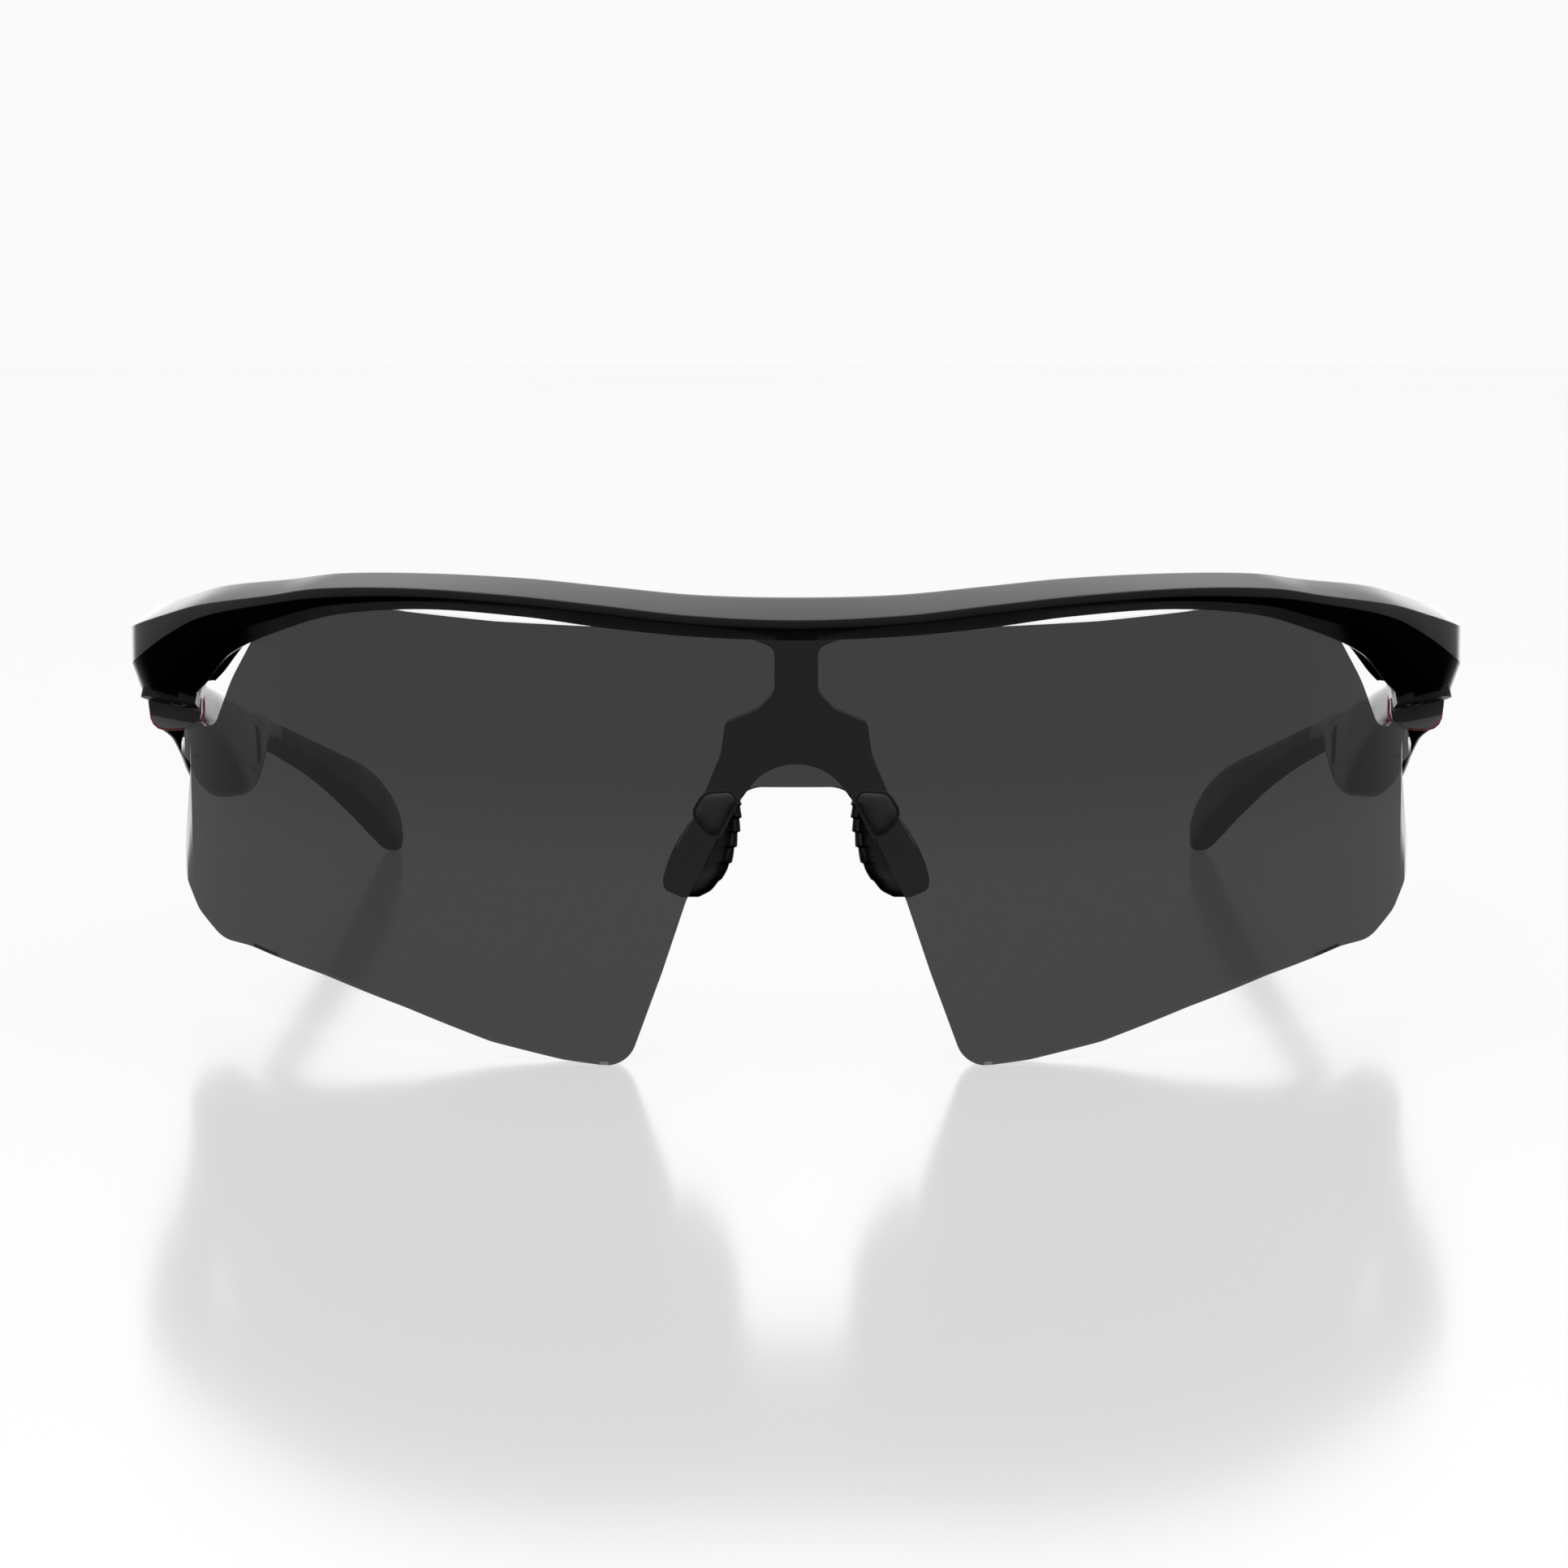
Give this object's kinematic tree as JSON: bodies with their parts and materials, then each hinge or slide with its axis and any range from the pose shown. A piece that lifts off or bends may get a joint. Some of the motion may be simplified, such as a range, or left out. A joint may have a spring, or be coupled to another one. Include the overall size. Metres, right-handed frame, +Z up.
{
  "type": "wraparound sport sunglasses",
  "caption": "Half-frame wraparound sunglasses with one smoke shield lens, nose bridge with soft pads, and folding temples that pull off their hinges, with speaker and battery inside.",
  "frame": {"origin": "bottom centre of the object's box, on the surface it stands on", "axes": "+X to the wearer's left, -Y is the way the front faces, +Y back along the open temples, +Z up"},
  "size_m": [0.1508, 0.1588, 0.0501],
  "materials": {
    "frame": "glossy black",
    "bridge": "satin black",
    "lens": "dark grey tint, polished",
    "clip": "glossy dark grey",
    "soft_rubber": "matt black",
    "lug": "satin dark grey",
    "screw": "brushed",
    "knuckle": "satin grey",
    "red_rubber": "satin crimson",
    "contact": "plain",
    "socket": "matt dark grey",
    "housing": "glossy black",
    "cover": "glossy black",
    "grille": "matt black, perforated",
    "speaker": "matt dark grey",
    "battery": "foil",
    "board": "solder-mask green",
    "core": "drawn wire"
  },
  "bodies": {
    "front": {"brow_frame": "frame", "nose_bridge": "bridge", "lens": "lens", "lens_clip_left": "clip", "lens_clip_right": "clip", "nose_pad_left": "soft_rubber", "nose_pad_right": "soft_rubber", "hinge_lug_left": "lug", "hinge_lug_right": "lug", "hinge_screw_left": "screw", "hinge_screw_right": "screw"},
    "hinge_left": {"hinge_knuckle_left": "knuckle", "seal_ring_left": "red_rubber", "contact_tongue_left": "contact"},
    "temple_left": {"contact_socket_left": "socket", "temple_shell_left": "housing", "temple_cover_left": "cover", "speaker_grille_left": "grille", "speaker_left": "speaker", "battery_left": "battery", "circuit_board_left": "board", "temple_core_left": "core", "temple_tip_left": "soft_rubber"},
    "hinge_right": {"hinge_knuckle_right": "knuckle", "seal_ring_right": "red_rubber", "contact_tongue_right": "contact"},
    "temple_right": {"contact_socket_right": "socket", "temple_shell_right": "housing", "temple_cover_right": "cover", "speaker_grille_right": "grille", "speaker_right": "speaker", "battery_right": "battery", "circuit_board_right": "board", "temple_core_right": "core", "temple_tip_right": "soft_rubber"}
  },
  "joints": [
    {"name": "fold_left", "type": "hinge", "parent": "front", "child": "hinge_left", "pos_m": [0.0694, -0.03013, 0.0329], "axis": [-0.1851, 0.2419, 0.9525], "range_deg": [0, 90]},
    {"name": "unplug_left", "type": "slide", "parent": "hinge_left", "child": "temple_left", "axis": [0.0462, 0.9703, -0.2375], "range_m": [0, 0.008]},
    {"name": "fold_right", "type": "hinge", "parent": "front", "child": "hinge_right", "pos_m": [-0.0694, -0.03013, 0.0329], "axis": [-0.1851, -0.2419, -0.9525], "range_deg": [0, 78]},
    {"name": "unplug_right", "type": "slide", "parent": "hinge_right", "child": "temple_right", "axis": [-0.0462, 0.9703, -0.2375], "range_m": [0, 0.008]}
  ]
}
